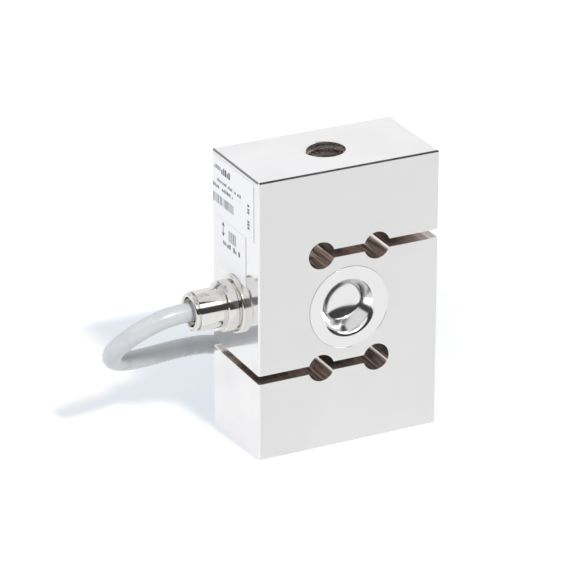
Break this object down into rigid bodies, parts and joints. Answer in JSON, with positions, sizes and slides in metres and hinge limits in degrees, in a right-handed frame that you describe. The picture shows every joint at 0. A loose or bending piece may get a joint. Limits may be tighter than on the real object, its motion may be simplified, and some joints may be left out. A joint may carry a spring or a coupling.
{
  "type": "s type load cell",
  "caption": "S-shaped slotted steel load cell with a threaded hole in each end, a sealed gauge bore in the middle, and a lead from a side gland that ends in bare cores.",
  "frame": {"origin": "mouth of the lower thread, in the middle of the base", "axes": "+Z along the load line from the lower thread to the upper one, +Y from the front face to the back, -X towards the cable gland"},
  "size_m": [0.1121, 0.1132, 0.0762],
  "materials": {
    "stainless_block": "ground stainless steel, satin",
    "polished_cup": "drawn stainless cup, polished",
    "polished_gland": "turned and plated, polished",
    "gauge_film": "amber polyimide film",
    "circuit_board": "green board",
    "silicone_rubber": "soft silicone",
    "nitrile_rubber": "black rubber",
    "copper_wire": "enamelled copper",
    "resistor_body": "moulded chip",
    "core_insulation": "core insulation",
    "grey_jacket": "smooth grey cable jacket",
    "label_foil": "white printed foil",
    "shrink_sleeve": "black shrink sleeve",
    "red_core": "red insulation",
    "black_core": "black insulation",
    "green_core": "green insulation",
    "white_core": "white insulation",
    "tinned_wire": "tinned copper",
    "tie_nylon": "natural nylon tie"
  },
  "bodies": {
    "root": {"spring_body": "stainless_block", "front_sealing_cup": "polished_cup", "rear_sealing_cup": "polished_cup", "strain_gauge_1": "gauge_film", "strain_gauge_2": "gauge_film", "strain_gauge_3": "gauge_film", "strain_gauge_4": "gauge_film", "terminal_board": "circuit_board", "board_pad": "silicone_rubber", "gauge_leads": "copper_wire", "trim_resistors": "resistor_body", "gland_body": "polished_gland", "gland_sleeve": "polished_gland", "gland_o_ring": "nitrile_rubber", "gland_seal": "nitrile_rubber", "gland_clamp_ring": "polished_gland", "cable_inner": "grey_jacket", "inner_cores": "core_insulation", "type_label": "label_foil", "serial_label": "label_foil", "cable_lead": "grey_jacket", "cable_hank": "grey_jacket", "cable_tail": "grey_jacket", "end_sleeve": "shrink_sleeve", "core_red": "red_core", "core_black": "black_core", "drain_wire": "tinned_wire", "core_green": "green_core", "core_white": "white_core", "core_ferrules": "tinned_wire", "hank_tie_right": "tie_nylon", "hank_tie_left": "tie_nylon"}
  },
  "joints": []
}
